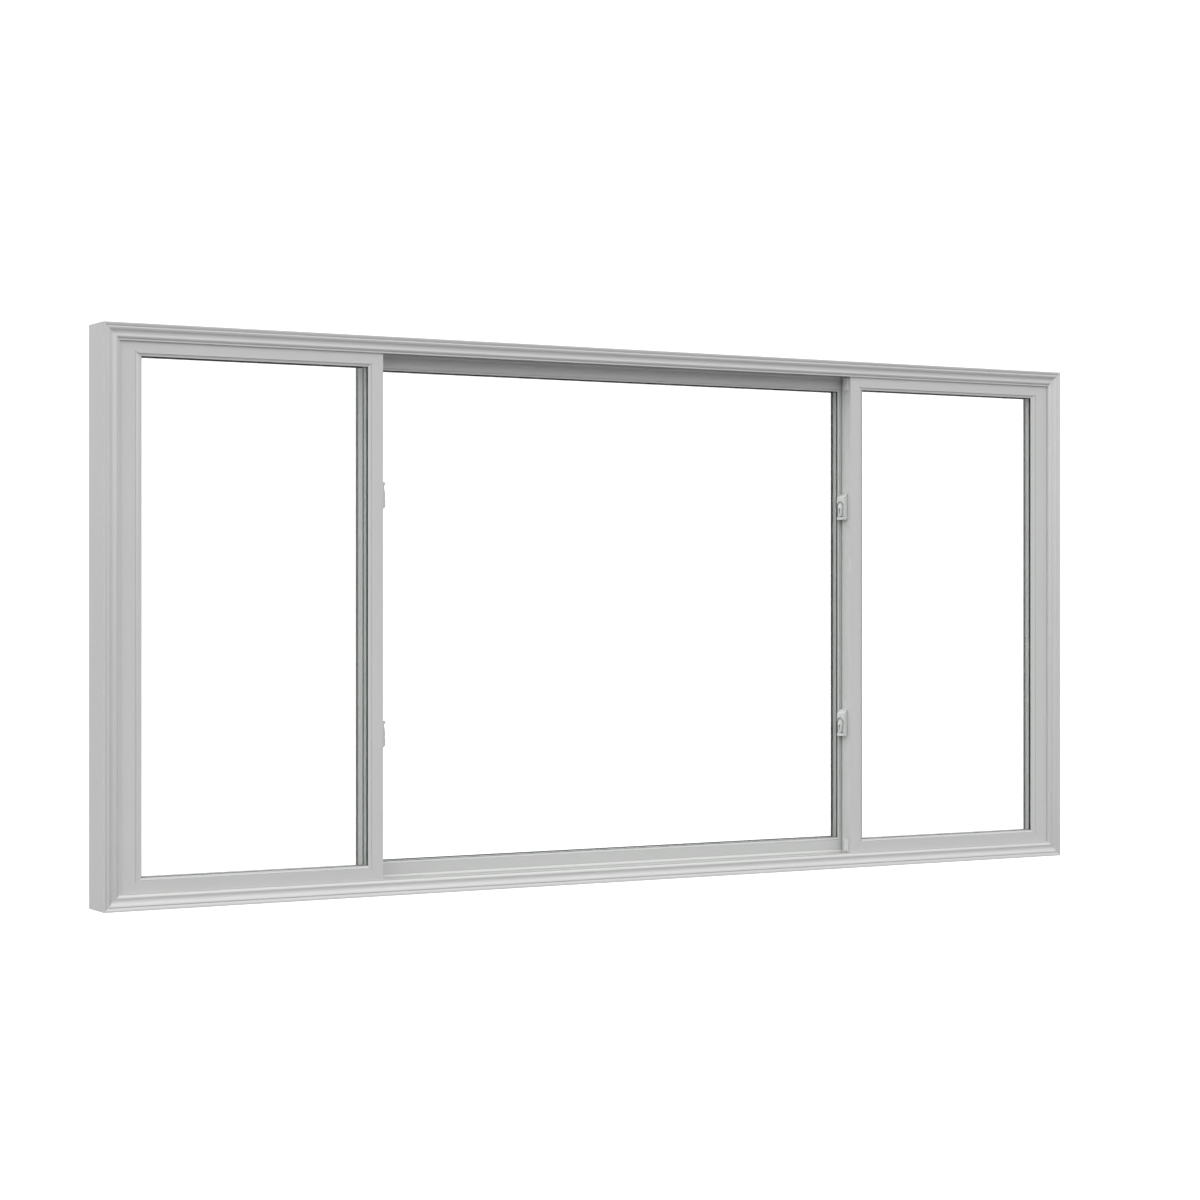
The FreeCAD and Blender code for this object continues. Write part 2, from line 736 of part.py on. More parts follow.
def lockLever(name):
    """A low roof over the pin, with a short tail, an arm and a pointed scoop for the finger."""
    body = newBody(name)
    sketch = newSketch(body, name + "_side", "XZ_Plane")
    points = [
        ("0", "-tail_length"),
        ("tail_depth", "-tail_length"),
        ("ridge_depth", "0"),
        ("arm_depth", "arm_reach + stop_gap"),
        ("0", "arm_reach + stop_gap"),
    ]
    outline(sketch, points)
    pad(body, sketch, "2 * hub_width", centred=True)
    # All outside the lever's plan is cut away.
    sketch = newSketch(body, name + "_plan", "YZ_Plane")
    outline(sketch, box("-2 * hub_width", "-2 * arm_reach", "2 * hub_width", "2 * arm_reach"))
    plan = [
        ("-tail_width / 2", "-tail_length"),
        ("tail_width / 2", "-tail_length"),
        ("hub_width / 2", "-tail_width / 2"),
        ("hub_width / 2", "tail_width / 2"),
        ("arm_width / 2", "arm_reach", "hub_width / 2"),
        ("-arm_width / 2", "arm_reach"),
        ("-hub_width / 2", "tail_width / 2"),
        ("-hub_width / 2", "-tail_width / 2"),
    ]
    outline(sketch, plan)
    pocket(body, sketch, "ridge_depth", flip=True)
    sketch = newSketch(body, name + "_scoop", "YZ_Plane")
    sketch.setExpression("AttachmentOffset.Base.z", rule("scoop_floor"))
    scoop = [
        ("0", "scoop_start"),
        ("scoop_width / 2", "scoop_start + scoop_width / 2"),
        ("scoop_width / 2", "scoop_start + scoop_length"),
        ("-scoop_width / 2", "scoop_start + scoop_length"),
        ("-scoop_width / 2", "scoop_start + scoop_width / 2"),
    ]
    outline(sketch, scoop)
    pocket(body, sketch, "ridge_depth", flip=True)
    sketch = newSketch(body, name + "_pin", "YZ_Plane")
    ring(sketch, "0", "0", "pin_radius")
    pad(body, sketch, "pin_depth", flip=True)


def fixedMember(name, length, flat, width, near, hook=False):
    """A member of the fixed lite: like a sash member, thinner, its hook facing the sash."""
    body = newBody(name)
    sketch = newSketch(body, name + "_section", "YZ_Plane")
    points = [
        ("0", "0"),
        ("fixed_thickness", "0"),
        ("fixed_thickness", width),
        ("fixed_leg_front", width),
        ("fixed_leg_front", flat),
        ("0", flat),
    ]
    if hook:
        tip = "-(fixed_gap - hook_gap)"
        root = "fixed_hook_tip - hook_tip"
        points += [
            ("0", f"{root} + hook_wall"),
            (f"{tip} + hook_wall", f"{root} + hook_wall"),
            (f"{tip} + hook_wall", "fixed_hook_tip"),
            (tip, "fixed_hook_tip"),
            (tip, root),
            ("0", root),
        ]
    outline(sketch, points)
    pad(body, sketch, length, centred=True)
    mitre(body, length, width, near, near)
    if hook:
        trimEnds(body, length, "fixed_hook_end", "-fixed_gap", "0")
    return body


def fixedLite():
    front = "fixed_front - half_depth"
    length = "2 * fixed_edge"
    low, high = "fixed_margin", "frame_height - fixed_margin"
    rail = ("fixed_rail_flat", "fixed_rail_width", "fixed_stile_width")
    stile = ("fixed_stile_flat", "fixed_stile_width", "fixed_rail_width")
    bead = ("fixed_bead_depth", "bead_slope", "fixed_bead_drop", "bead_fall")
    strips = []
    for name, level, turn in (("bottom", low, 0), ("top", high, 180)):
        place(fixedMember(f"fixed_{name}_rail", length, *rail), "0", front, level, turn)
        flat, width, near = rail
        strip = beadStrip("fixed_bead_" + name, length, flat, width, near, near, *bead)
        place(strip, "0", front, level, turn)
        strips.append(strip)
    for name, across, turn in (("left", "-fixed_edge", 90), ("right", "fixed_edge", -90)):
        body = fixedMember(f"fixed_stile_{name}", "fixed_height", *stile, hook=True)
        keeperRecess(body, turn)
        place(body, across, front, "middle_height", turn)
        flat, width, near = stile
        strip = beadStrip("fixed_bead_" + name, "fixed_height", flat, width, near, near, *bead)
        place(strip, across, front, "middle_height", turn)
        strips.append(strip)
    grouped("fixed_glazing_beads", strips)

    edge = "(fixed_edge - fixed_stile_width + fixed_glass_bite)"
    glassLow = "fixed_margin + fixed_rail_width - fixed_glass_bite"
    glassHigh = "frame_height - fixed_margin - fixed_rail_width + fixed_glass_bite"
    glassFront = "fixed_front + fixed_bead_depth"
    glazing("fixed_", "0", glassFront, glassLow, f"-{edge}", edge, glassHigh, "fixed_glass_bite")
    keepers("left_keepers", "-")
    keepers("right_keepers", "")


def keeperRecess(body, turn):
    """Shallow recesses in a fixed stile's front face, for the two keeper plates."""
    sketch = newSketch(body, body.Name + "_keeper_recesses", "XZ_Plane")
    out = "(fixed_stile_flat - keeper_inset - keeper_width)"
    for height in ("upper_lock", "lower_lock"):
        # The stile's own X runs down the window on the left and up it on the right.
        along = f"(middle_height - {height})" if turn > 0 else f"({height} - middle_height)"
        start, end = f"{along} - keeper_height / 2", f"{along} + keeper_height / 2"
        outline(sketch, box(start, out, end, f"{out} + keeper_width"))
    pocket(body, sketch, "keeper_depth")


def keepers(name, sign):
    plates = []
    for level in ("upper", "lower"):
        plate = newBody(f"{name}_{level}")
        sketch = newSketch(plate, plate.Name + "_outline", "XZ_Plane")
        half, reach = "keeper_width / 2", "keeper_height / 2"
        outline(sketch, box(f"-{half}", f"-{reach}", half, reach))
        pad(plate, sketch, "keeper_depth", flip=True)
        across = f"{sign}(fixed_edge - fixed_stile_flat + keeper_inset + keeper_width / 2)"
        place(plate, across, "fixed_front - half_depth", f"{level}_lock")
        plates.append(plate)
    grouped(name, plates)


def nodes():
    """Everything that is a piece of its own, and not a strip or wheel inside a group."""
    inside = []
    for item in doc.Objects:
        if item.TypeId == "Part::Compound":
            inside += item.Links
    pieces = []
    for item in doc.Objects:
        if item.TypeId in ("PartDesign::Body", "Part::Compound") and item not in inside:
            pieces.append(item)
    return pieces


def main():
    fillSheet()
    outerFrame()
    fixedLite()
    slidingSash("left_sash_", -1)
    slidingSash("right_sash_", 1)
    doc.recompute()
    for item in doc.Objects:
        for state in item.State:
            if state in ("Invalid", "Error"):
                raise RuntimeError(f"{item.Name} failed to compute: {item.State}")
    os.makedirs("parts", exist_ok=True)
    for piece in nodes():
        shape = piece.Shape
        if shape.isNull() or not shape.isValid():
            raise RuntimeError(f"{piece.Label} has no valid shape")
        shape.exportStep(f"parts/{piece.Label}.step")
        print(piece.Label, len(shape.Solids), round(shape.Volume))


main()
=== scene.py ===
import math

import bmesh
import bpy
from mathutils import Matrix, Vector


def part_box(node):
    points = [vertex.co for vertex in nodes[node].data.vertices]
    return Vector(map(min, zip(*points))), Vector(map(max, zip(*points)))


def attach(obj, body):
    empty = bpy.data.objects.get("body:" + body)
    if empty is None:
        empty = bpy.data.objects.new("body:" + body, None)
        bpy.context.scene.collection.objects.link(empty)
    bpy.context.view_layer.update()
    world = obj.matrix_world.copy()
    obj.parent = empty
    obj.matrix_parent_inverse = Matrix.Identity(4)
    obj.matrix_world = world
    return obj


# White three-lite sliding window, seen from the room. Metres; X along it, Y outdoors, Z up.

mm = 0.001
noiseLow, noiseHigh = 0.3, 0.7  # nearly all of a noise texture lies between these


def hexColour(text):
    channels = [int(text[i:i + 2], 16) / 255 for i in (0, 2, 4)]
    return [c / 12.92 if c <= 0.04045 else ((c + 0.055) / 1.055) ** 2.4 for c in channels] + [1]


def perMetre(size):  # texture scale for a pattern of that many millimetres
    return 1 / (size * mm)


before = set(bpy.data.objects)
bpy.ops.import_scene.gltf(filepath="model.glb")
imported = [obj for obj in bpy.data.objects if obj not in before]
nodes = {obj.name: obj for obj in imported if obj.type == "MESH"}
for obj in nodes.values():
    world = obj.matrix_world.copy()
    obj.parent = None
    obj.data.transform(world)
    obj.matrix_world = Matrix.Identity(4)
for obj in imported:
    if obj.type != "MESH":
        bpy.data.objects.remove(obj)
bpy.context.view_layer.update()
print("frame loaded:", len(nodes), "nodes")


# One node with its settings and links: a tuple (node, output) is linked, anything else is a value.
# A Mix node's sockets go by number: 2 and 3 are its numbers, 4 and 5 its vectors, 6 and 7 its
# colours, and its outputs 0, 1 and 2 are a number, a vector and a colour.
def addNode(tree, kind, inputs=None, **settings):
    node = tree.nodes.new(kind)
    for name, value in settings.items():
        setattr(node, name, value)
    for name, value in (inputs or {}).items():
        socket = node.inputs[name]
        if isinstance(value, tuple) and isinstance(value[0], bpy.types.Node):
            tree.links.new(value[0].outputs[value[1]], socket)
        else:
            socket.default_value = value
    return node


def startMaterial(name):
    material = bpy.data.materials.new(name)
    material.use_nodes = True
    material.node_tree.nodes.clear()
    return material, material.node_tree


def endMaterial(tree, shader):
    addNode(tree, "ShaderNodeOutputMaterial", {"Surface": (shader, 0)})


# Extruded white PVC: a die drags it out, which leaves fine lines along the profile and a soft
# gloss.
extrudedPvc = {
    "colour": "C7C8C7",
    "shade": "C2C3C2",  # slow drift of tone along a bar
    "driftSize": 260,
    "roughness": (0.30, 0.42),
    "ior": 1.53,
    "dieLine": 2.4,  # spacing of the die lines; the real ones are finer than a pixel
    "dieHeight": 0.012,
    "rippleSize": 14,  # faint ripple that bends reflections, as on all extrusions
    "rippleHeight": 0.02,
    "relief": 0.6,
    "alongX": (0.02, 1, 1),  # draws the pattern out along a rail
    "alongZ": (1, 1, 0.02),  # and along a stile
}


def makePvc(name, stretch, otherStretch=None):
    material, tree = startMaterial(name)
    look = extrudedPvc
    place = addNode(tree, "ShaderNodeTexCoord")
    scale = addNode(tree, "ShaderNodeVectorMath", {
        0: (place, "Object"), 1: look[stretch]}, operation="MULTIPLY")
    drawn = (scale, 0)
    if otherStretch:
        # Upright strips tip sideways, lying ones up or down: that tells how the die lines run.
        other = addNode(tree, "ShaderNodeVectorMath", {
            0: (place, "Object"), 1: look[otherStretch]}, operation="MULTIPLY")
        shape = addNode(tree, "ShaderNodeNewGeometry")
        tip = addNode(tree, "ShaderNodeSeparateXYZ", {0: (shape, "True Normal")})
        tipX = addNode(tree, "ShaderNodeMath", {0: (tip, "X")}, operation="ABSOLUTE")
        tipZ = addNode(tree, "ShaderNodeMath", {0: (tip, "Z")}, operation="ABSOLUTE")
        upright = addNode(tree, "ShaderNodeMath", {
            0: (tipX, 0), 1: (tipZ, 0)}, operation="GREATER_THAN")
        chosen = addNode(tree, "ShaderNodeMix", {
            "Factor": (upright, 0), 4: (scale, 0), 5: (other, 0)}, data_type="VECTOR")
        drawn = (chosen, 1)
    lines = addNode(tree, "ShaderNodeTexNoise", {
        "Vector": drawn, "Scale": perMetre(look["dieLine"]), "Detail": 2.0, "Roughness": 0.6})
    drift = addNode(tree, "ShaderNodeTexNoise", {
        "Vector": (place, "Object"), "Scale": perMetre(look["driftSize"]), "Detail": 3.0})
    ripple = addNode(tree, "ShaderNodeTexNoise", {
        "Vector": drawn, "Scale": perMetre(look["rippleSize"]), "Detail": 1.0})
    colour = addNode(tree, "ShaderNodeMix", {
        "Factor": (drift, "Fac"), 6: hexColour(look["colour"]), 7: hexColour(look["shade"])},
        data_type="RGBA")
    low, high = look["roughness"]
    gloss = addNode(tree, "ShaderNodeMapRange", {
        "Value": (lines, "Fac"), "From Min": noiseLow, "From Max": noiseHigh,
        "To Min": low, "To Max": high})
    waves = addNode(tree, "ShaderNodeBump", {
        "Height": (ripple, "Fac"), "Distance": look["rippleHeight"] * mm,
        "Strength": look["relief"]})
    relief = addNode(tree, "ShaderNodeBump", {
        "Height": (lines, "Fac"), "Distance": look["dieHeight"] * mm,
        "Strength": look["relief"], "Normal": (waves, 0)})
    shader = addNode(tree, "ShaderNodeBsdfPrincipled", {
        "Base Color": (colour, 2), "Roughness": (gloss, 0), "IOR": look["ior"],
        "Normal": (relief, 0)})
    endMaterial(tree, shader)
    return material


# Float glass: flat and clear, with a trace of green in its thickness.
floatGlass = {
    "colour": "FEFFFE",
    "ior": 1.52,
    "roughness": 0.0,
    "mirror": 0.25,  # specular level: a quiet mirror, so that the lites stay clear
}


def makeGlass():
    material, tree = startMaterial("float_glass")
    look = floatGlass
    pane = addNode(tree, "ShaderNodeBsdfPrincipled", {
        "Base Color": hexColour(look["colour"]), "Roughness": look["roughness"],
        "IOR": look["ior"], "Specular IOR Level": look["mirror"], "Transmission Weight": 1.0})
    clear = addNode(tree, "ShaderNodeBsdfTransparent", {"Color": hexColour(look["colour"])})
    path = addNode(tree, "ShaderNodeLightPath")  # light passes a pane, so it casts no shadow
    shader = addNode(tree, "ShaderNodeMixShader", {
        "Fac": (path, "Is Shadow Ray"), 1: (pane, 0), 2: (clear, 0)})
    endMaterial(tree, shader)
    return material


# Gaskets and seals: black EPDM rubber, extruded, dull with a bloom.
blackRubber = {
    "colour": "0C0D0E",
    "bloom": "1A1C1D",
    "bloomSize": 9,
    "bloomHeight": 0.02,
    "relief": 0.5,
    "roughness": 0.75,
    "ior": 1.52,
    "mirror": 0.1,
}


def makeRubber():
    material, tree = startMaterial("extruded_epdm_rubber")
    look = blackRubber
    place = addNode(tree, "ShaderNodeTexCoord")
    bloom = addNode(tree, "ShaderNodeTexNoise", {
        "Vector": (place, "Object"), "Scale": perMetre(look["bloomSize"]), "Detail": 4.0})
    colour = addNode(tree, "ShaderNodeMix", {
        "Factor": (bloom, "Fac"), 6: hexColour(look["colour"]), 7: hexColour(look["bloom"])},
        data_type="RGBA")
    relief = addNode(tree, "ShaderNodeBump", {
        "Height": (bloom, "Fac"), "Distance": look["bloomHeight"] * mm,
        "Strength": look["relief"]})
    shader = addNode(tree, "ShaderNodeBsdfPrincipled", {
        "Base Color": (colour, 2), "Roughness": look["roughness"], "IOR": look["ior"],
        "Specular IOR Level": look["mirror"], "Normal": (relief, 0)})
    endMaterial(tree, shader)
    return material


# Spacer bar: roll-formed aluminium, lacquered grey so that it is dull, with two rows of breather
# holes and butyl lines where the panes are bedded on it. Faces that look down, its top run, get
# painted shade, nearly black.
spacerBar = {
    "colour": "A8ABAA",
    "shade": "A0A3A2",  # slow drift of tone along it
    "driftSize": 90,
    "butyl": "5C605F",
    "innerButyl": "8A8E8C",
    "butylWidth": 1.6,
    "hole": "9A9D9C",
    "holePitch": 3.0,
    "holeLength": 1.2,
    "holeWidth": 0.5,
    "holeRow": 0.45,  # from the bar's middle, as a share of half its width
    # painted shade colour for the top run, which faces down
    "topRunShade": "1E2021",
    "shadedFace": -0.5,  # a face whose normal points down by more than this gets the painted shade
    "roughness": 0.6,
    "butylRougher": 0.2,
    "mirror": 0.3,
}


def makeSpacer(name, box):
    material, tree = startMaterial(name)
    look = spacerBar
    near, far = box[0].y, box[1].y
    middle, half = (near + far) / 2, (far - near) / 2
    place = addNode(tree, "ShaderNodeTexCoord")
    split = addNode(tree, "ShaderNodeSeparateXYZ", {0: (place, "Object")})
    off = addNode(tree, "ShaderNodeMath", {0: (split, "Y"), 1: middle}, operation="SUBTRACT")
    away = addNode(tree, "ShaderNodeMath", {0: (off, 0)}, operation="ABSOLUTE")
    butyl = addNode(tree, "ShaderNodeMath", {
        0: (away, 0), 1: half - look["butylWidth"] * mm}, operation="GREATER_THAN")
    along = addNode(tree, "ShaderNodeMath", {0: (split, "X"), 1: (split, "Z")}, operation="ADD")
    pitch = addNode(tree, "ShaderNodeMath", {
        0: (along, 0), 1: look["holePitch"] * mm}, operation="FLOORED_MODULO")
    hole = addNode(tree, "ShaderNodeMath", {
        0: (pitch, 0), 1: look["holeLength"] * mm}, operation="LESS_THAN")
    row = addNode(tree, "ShaderNodeMath", {
        0: (away, 0), 1: half * look["holeRow"], 2: look["holeWidth"] * mm}, operation="COMPARE")
    both = addNode(tree, "ShaderNodeMath", {0: (hole, 0), 1: (row, 0)}, operation="MULTIPLY")
    drift = addNode(tree, "ShaderNodeTexNoise", {
        "Vector": (place, "Object"), "Scale": perMetre(look["driftSize"]), "Detail": 2.0})
    lacquer = addNode(tree, "ShaderNodeMix", {
        "Factor": (drift, "Fac"), 6: hexColour(look["colour"]), 7: hexColour(look["shade"])},
        data_type="RGBA")
    metal = addNode(tree, "ShaderNodeMix", {
        "Factor": (both, 0), 6: (lacquer, 2), 7: hexColour(look["hole"])}, data_type="RGBA")
    outdoor = addNode(tree, "ShaderNodeMath", {0: (off, 0), 1: 0.0}, operation="GREATER_THAN")
    seal = addNode(tree, "ShaderNodeMix", {
        "Factor": (outdoor, 0), 6: hexColour(look["innerButyl"]), 7: hexColour(look["butyl"])},
        data_type="RGBA")
    bar = addNode(tree, "ShaderNodeMix", {
        "Factor": (butyl, 0), 6: (metal, 2), 7: (seal, 2)}, data_type="RGBA")
    # Painted shade: faces that look down, the top run, take the near-black shade colour.
    shape = addNode(tree, "ShaderNodeNewGeometry")
    tip = addNode(tree, "ShaderNodeSeparateXYZ", {0: (shape, "True Normal")})
    shadedFace = addNode(tree, "ShaderNodeMath", {
        0: (tip, "Z"), 1: look["shadedFace"]}, operation="LESS_THAN")
    colour = addNode(tree, "ShaderNodeMix", {
        "Factor": (shadedFace, 0), 6: (bar, 2), 7: hexColour(look["topRunShade"])}, data_type="RGBA")
    rough = addNode(tree, "ShaderNodeMath", {
        0: (butyl, 0), 1: look["butylRougher"], 2: look["roughness"]}, operation="MULTIPLY_ADD")
    shader = addNode(tree, "ShaderNodeBsdfPrincipled", {
        "Base Color": (colour, 2), "Roughness": (rough, 0),
        "Specular IOR Level": look["mirror"]})
    endMaterial(tree, shader)
    return material


# Lock: zinc die casting with a white powder coat, fine orange peel; its gaps and nooks get
# painted shade.
powderCoat = {
    "colour": "CACBCA",
    "peelSize": 1.6,
    "peelHeight": 0.02,
    "peelTone": 0.94,  # its valleys are this much darker
    "relief": 0.4,
    "gapShade": "4E5050",
    "gapShadeReach": 3.2,
    "gapShadeRange": (0.35, 0.8),  # share of open sky at which a face is all painted shade, and free of it
    "roughness": 0.2,
    "ior": 1.5,
}


def makePowderCoat():
    material, tree = startMaterial("powder_coated_zinc")
    look = powderCoat
    place = addNode(tree, "ShaderNodeTexCoord")
    peel = addNode(tree, "ShaderNodeTexNoise", {
        "Vector": (place, "Object"), "Scale": perMetre(look["peelSize"]), "Detail": 1.5})
    tone = addNode(tree, "ShaderNodeMapRange", {
        "Value": (peel, "Fac"), "From Min": noiseLow, "From Max": noiseHigh,
        "To Min": look["peelTone"], "To Max": 1.0})
    coat = addNode(tree, "ShaderNodeMix", {
        "Factor": 1.0, 6: hexColour(look["colour"]), 7: (tone, 0)},
        data_type="RGBA", blend_type="MULTIPLY")
    # Painted shade: faces close to other surfaces darken towards the grey shade colour.
    gapOcclusion = addNode(tree, "ShaderNodeAmbientOcclusion", {
        "Distance": look["gapShadeReach"] * mm}, samples=8)
    low, high = look["gapShadeRange"]
    unshaded = addNode(tree, "ShaderNodeMapRange", {
        "Value": (gapOcclusion, "AO"), "From Min": low, "From Max": high})
    colour = addNode(tree, "ShaderNodeMix", {
        "Factor": (unshaded, 0), 6: hexColour(look["gapShade"]), 7: (coat, 2)}, data_type="RGBA")
    relief = addNode(tree, "ShaderNodeBump", {
        "Height": (peel, "Fac"), "Distance": look["peelHeight"] * mm,
        "Strength": look["relief"]})
    shader = addNode(tree, "ShaderNodeBsdfPrincipled", {
        "Base Color": (colour, 2), "Roughness": look["roughness"], "IOR": look["ior"],
        "Normal": (relief, 0)})
    endMaterial(tree, shader)
    return material


# Keepers: steel strip, stamped and zinc plated, with a brushed grain.
platedSteel = {
    "colour": "B4B6B8",
    "grain": 0.8,
    "brushed": (1, 1, 0.08),  # draws the grain out upwards
    "roughness": (0.26, 0.44),
}


def makeSteel():
    material, tree = startMaterial("zinc_plated_steel")
    look = platedSteel
    place = addNode(tree, "ShaderNodeTexCoord")
    scale = addNode(tree, "ShaderNodeVectorMath", {
        0: (place, "Object"), 1: look["brushed"]}, operation="MULTIPLY")
    grain = addNode(tree, "ShaderNodeTexNoise", {
        "Vector": (scale, 0), "Scale": perMetre(look["grain"]), "Detail": 3.0})
    low, high = look["roughness"]
    gloss = addNode(tree, "ShaderNodeMapRange", {
        "Value": (grain, "Fac"), "From Min": noiseLow, "From Max": noiseHigh,
        "To Min": low, "To Max": high})
    shader = addNode(tree, "ShaderNodeBsdfPrincipled", {
        "Base Color": hexColour(look["colour"]), "Metallic": 1.0, "Roughness": (gloss, 0)})
    endMaterial(tree, shader)
    return material


# Rollers, guides and weep covers: nylon, injection moulded, with a fine spark-eroded grain.
mouldedNylon = {
    "white": "D8D9D8",
    "grey": "5A5C5E",
    "grain": 0.9,
    "grainHeight": 0.03,
    "grainTone": 0.92,  # its valleys are this much darker
    "relief": 0.6,
    "roughness": 0.5,
    "ior": 1.53,
}


def makeNylon(name, colour):
    material, tree = startMaterial(name)
    look = mouldedNylon
    place = addNode(tree, "ShaderNodeTexCoord")
    grain = addNode(tree, "ShaderNodeTexNoise", {
        "Vector": (place, "Object"), "Scale": perMetre(look["grain"]), "Detail": 3.0})
    tone = addNode(tree, "ShaderNodeMapRange", {
        "Value": (grain, "Fac"), "From Min": noiseLow, "From Max": noiseHigh,
        "To Min": look["grainTone"], "To Max": 1.0})
    shade = addNode(tree, "ShaderNodeMix", {
        "Factor": 1.0, 6: hexColour(look[colour]), 7: (tone, 0)},
        data_type="RGBA", blend_type="MULTIPLY")
    relief = addNode(tree, "ShaderNodeBump", {
        "Height": (grain, "Fac"), "Distance": look["grainHeight"] * mm,
        "Strength": look["relief"]})
    shader = addNode(tree, "ShaderNodeBsdfPrincipled", {
        "Base Color": (shade, 2), "Roughness": look["roughness"], "IOR": look["ior"],
        "Normal": (relief, 0)})
    endMaterial(tree, shader)
    return material


# Weatherstrip: woven polypropylene pile, so dense that it reads as grey felt.
pileFelt = {
    "colour": "A9ABAB",
    "tip": "C6C7C7",
    "tuft": 0.8,
    "tuftHeight": 0.2,
    "relief": 0.8,
    "roughness": 0.95,
    "sheen": 0.3,
}


def makePile():
    material, tree = startMaterial("woven_polypropylene_pile")
    look = pileFelt
    place = addNode(tree, "ShaderNodeTexCoord")
    tufts = addNode(tree, "ShaderNodeTexNoise", {
        "Vector": (place, "Object"), "Scale": perMetre(look["tuft"]), "Detail": 3.0})
    colour = addNode(tree, "ShaderNodeMix", {
        "Factor": (tufts, "Fac"), 6: hexColour(look["colour"]), 7: hexColour(look["tip"])},
        data_type="RGBA")
    relief = addNode(tree, "ShaderNodeBump", {
        "Height": (tufts, "Fac"), "Distance": look["tuftHeight"] * mm,
        "Strength": look["relief"]})
    shader = addNode(tree, "ShaderNodeBsdfPrincipled", {
        "Base Color": (colour, 2), "Roughness": look["roughness"],
        "Sheen Weight": look["sheen"], "Normal": (relief, 0)})
    endMaterial(tree, shader)
    return material


finishes = {
    "pvcRail": makePvc("extruded_pvc_rails", "alongX"),
    "pvcStile": makePvc("extruded_pvc_stiles", "alongZ"),
    "pvcBead": makePvc("extruded_pvc_beads", "alongX", "alongZ"),
    "glass": makeGlass(),
    "rubber": makeRubber(),
    "enamel": makePowderCoat(),
    "steel": makeSteel(),
    "pile": makePile(),
    "whiteNylon": makeNylon("moulded_white_nylon", "white"),
    "greyNylon": makeNylon("moulded_grey_nylon", "grey"),
}
print("materials made:", len(finishes))


# Finish and width of the softened arrises in mm, by a word in the node's name: the first that
# fits counts. A spacer's finish is made for each bar, since its lines follow the bar's depth.
dressing = (
    ("glass", "glass", 0),
    ("spacer", "spacer", 0),
    ("lock", "enamel", 0.4),
    ("lever", "enamel", 0.4),
    ("keeper", "steel", 0),
    ("roller", "greyNylon", 0),
    ("guides", "whiteNylon", 0.4),
    ("weep", "whiteNylon", 0.4),
    ("beads", "pvcBead", 0.25),
    ("stile", "pvcStile", 0.35),
    ("jamb", "pvcStile", 0.35),
    ("", "pvcRail", 0.35),
)
arris = {"sharp": 35, "segments": 2, "weld": 0.005}  # degrees between faces; weld in mm


def paint(node, material):
    node.data.materials.clear()
    node.data.materials.append(material)


def soften(node, width):
    weld = node.modifiers.new("weld", "WELD")
    weld.merge_threshold = arris["weld"] * mm
    bevel = node.modifiers.new("arris", "BEVEL")
    bevel.width = width * mm
    bevel.segments = arris["segments"]
    bevel.limit_method = "ANGLE"
    bevel.angle_limit = math.radians(arris["sharp"])


for name, node in nodes.items():
    word, finish, width = next(row for row in dressing if row[0] in name)
    if finish == "spacer":
        paint(node, makeSpacer("lacquered_aluminium_" + name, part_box(name)))
    else:
        paint(node, finishes[finish])
    if width:
        soften(node, width)
print("nodes painted")


def finishPiece(name, mesh, material, body):
    data = bpy.data.meshes.new(name)
    bmesh.ops.recalc_face_normals(mesh, faces=mesh.faces)
    mesh.to_mesh(data)
    mesh.free()
    data.materials.append(material)
    piece = bpy.data.objects.new(name, data)
    bpy.context.scene.collection.objects.link(piece)
    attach(piece, body)


# The walls of a strip, between its section's corners here and those at its next end.
def addWalls(mesh, here, after):
    for i in range(len(here)):
        j = (i + 1) % len(here)
        mesh.faces.new((here[i], here[j], after[j], after[i]))


# A strip of constant section round a rectangle in the window's plane, its corners mitred.
# The section is a closed list of (outwards from the rectangle, depth) in metres; the top run may
# have other outward sizes.
def sweepRound(name, low, high, section, body, material, topOuts=None):
    mesh = bmesh.new()
    loops = []
    for signX, signZ in ((-1, -1), (1, -1), (1, 1), (-1, 1)):
        x = high[0] if signX > 0 else low[0]
        z = high[1] if signZ > 0 else low[1]
        rises = topOuts if topOuts and signZ > 0 else [out for out, depth in section]
        loops.append([
            mesh.verts.new((x + signX * out, depth, z + signZ * rise))
            for (out, depth), rise in zip(section, rises)])
    for corner in range(4):
        addWalls(mesh, loops[corner], loops[(corner + 1) % 4])
    finishPiece(name, mesh, material, body)


# Rubber wedge between bead and pane, all round the daylight opening, indoors and outdoors.
gasket = {
    "show": 0.5,  # how far it stands out over the pane
    "topShowForShade": 1.5,  # the top run stands out further, so its black stands in for the shade under the top bead
    "lip": 0.8,  # its free edge, as a share of that
    "shoulder": (0.95, 0.6),  # where that edge turns to the pane, in shares of show and height
    "clear": 0.05,  # kept off bead and pane
    "sash": {"bite": 4.5, "roomHeight": 2.6, "outdoorHeight": 3.0, "outdoorShow": 0.6},
    "fixed": {"bite": 3.5, "roomHeight": 1.4, "outdoorHeight": 3.7, "outdoorShow": 2.4},
}


